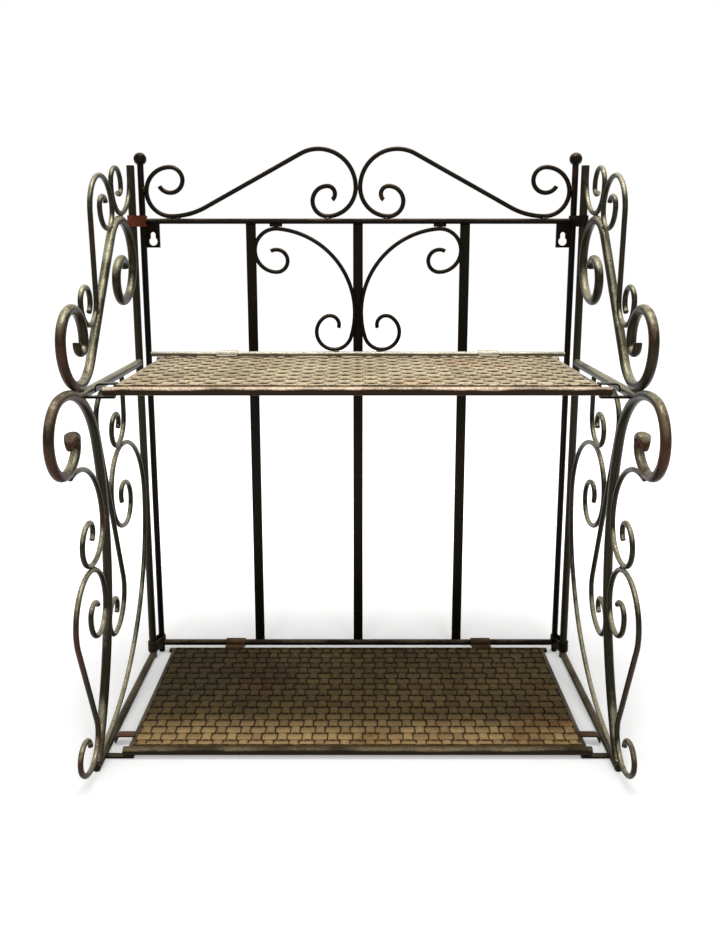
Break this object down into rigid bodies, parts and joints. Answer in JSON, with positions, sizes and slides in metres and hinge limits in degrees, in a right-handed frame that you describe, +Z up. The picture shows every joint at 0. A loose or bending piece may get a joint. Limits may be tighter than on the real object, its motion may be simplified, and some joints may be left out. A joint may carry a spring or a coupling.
{
  "type": "wall shelf",
  "caption": "Folding wrought-iron style wall shelf: scrolled side panels on vertical hinges, woven metal shelves that swing up on the back rails, and a crested back frame.",
  "frame": {"origin": "on the floor under the middle of the overall box", "axes": "+Z up, -Y to the front away from the wall, +X to the right seen from the front"},
  "size_m": [0.5056, 0.3065, 0.5964],
  "materials": {
    "iron_paint": "satin dark bronze paint, worn",
    "worn_fittings": "bronze paint worn through to rust",
    "upper_sheet": "satin bronze paint on woven sheet",
    "lower_sheet": "satin bronze paint on woven sheet, lightly rusted"
  },
  "bodies": {
    "back_frame": {"left_post": "iron_paint", "right_post": "iron_paint", "left_ball_finial": "iron_paint", "right_ball_finial": "iron_paint", "top_rail": "iron_paint", "middle_rail": "iron_paint", "bottom_rail": "iron_paint", "left_slat": "iron_paint", "center_slat": "iron_paint", "right_slat": "iron_paint", "left_crest_scroll": "iron_paint", "right_crest_scroll": "iron_paint", "left_back_scroll": "iron_paint", "right_back_scroll": "iron_paint", "scroll_pads": "iron_paint", "left_keyhole_tab": "worn_fittings", "right_keyhole_tab": "worn_fittings", "left_hinge_straps": "worn_fittings", "right_hinge_straps": "worn_fittings"},
    "left_side": {"left_stile": "iron_paint", "left_arm": "iron_paint", "left_bottom_bar": "iron_paint", "left_upper_scroll": "iron_paint", "left_leg_scroll": "iron_paint", "left_crown_curl": "iron_paint", "left_neck_scroll": "iron_paint", "left_brace_scroll": "iron_paint", "left_drop_curl": "iron_paint", "left_eye_curl": "iron_paint", "left_foot_scroll": "iron_paint", "left_belly_scroll": "iron_paint", "left_shelf_ledges": "worn_fittings"},
    "right_side": {"right_stile": "iron_paint", "right_arm": "iron_paint", "right_bottom_bar": "iron_paint", "right_upper_scroll": "iron_paint", "right_leg_scroll": "iron_paint", "right_crown_curl": "iron_paint", "right_neck_scroll": "iron_paint", "right_brace_scroll": "iron_paint", "right_drop_curl": "iron_paint", "right_eye_curl": "iron_paint", "right_foot_scroll": "iron_paint", "right_belly_scroll": "iron_paint", "right_shelf_ledges": "worn_fittings"},
    "upper_shelf": {"upper_shelf_front_rod": "iron_paint", "upper_shelf_rear_rod": "iron_paint", "upper_shelf_side_rods": "iron_paint", "upper_shelf_woven_panel": "upper_sheet", "upper_shelf_hinge_clips": "worn_fittings", "upper_shelf_corner_hooks": "worn_fittings"},
    "lower_shelf": {"lower_shelf_front_rod": "iron_paint", "lower_shelf_rear_rod": "iron_paint", "lower_shelf_side_rods": "iron_paint", "lower_shelf_woven_panel": "lower_sheet", "lower_shelf_hinge_clips": "worn_fittings", "lower_shelf_corner_hooks": "worn_fittings"}
  },
  "joints": [
    {"name": "upper_shelf_hinge", "type": "hinge", "parent": "back_frame", "child": "upper_shelf", "pos_m": [0, 0.14527, 0.3668], "axis": [-1, 0, 0], "range_deg": [0, 84]},
    {"name": "lower_shelf_hinge", "type": "hinge", "parent": "back_frame", "child": "lower_shelf", "pos_m": [0, 0.14477, 0.0118], "axis": [-1, 0, 0], "range_deg": [0, 84]},
    {"name": "left_side_hinge", "type": "hinge", "parent": "back_frame", "child": "left_side", "pos_m": [-0.247, 0.13127, 0.3], "axis": [0, 0, -1], "range_deg": [0, 90]},
    {"name": "right_side_hinge", "type": "hinge", "parent": "back_frame", "child": "right_side", "pos_m": [0.247, 0.13127, 0.3], "axis": [0, 0, 1], "range_deg": [0, 90]}
  ]
}
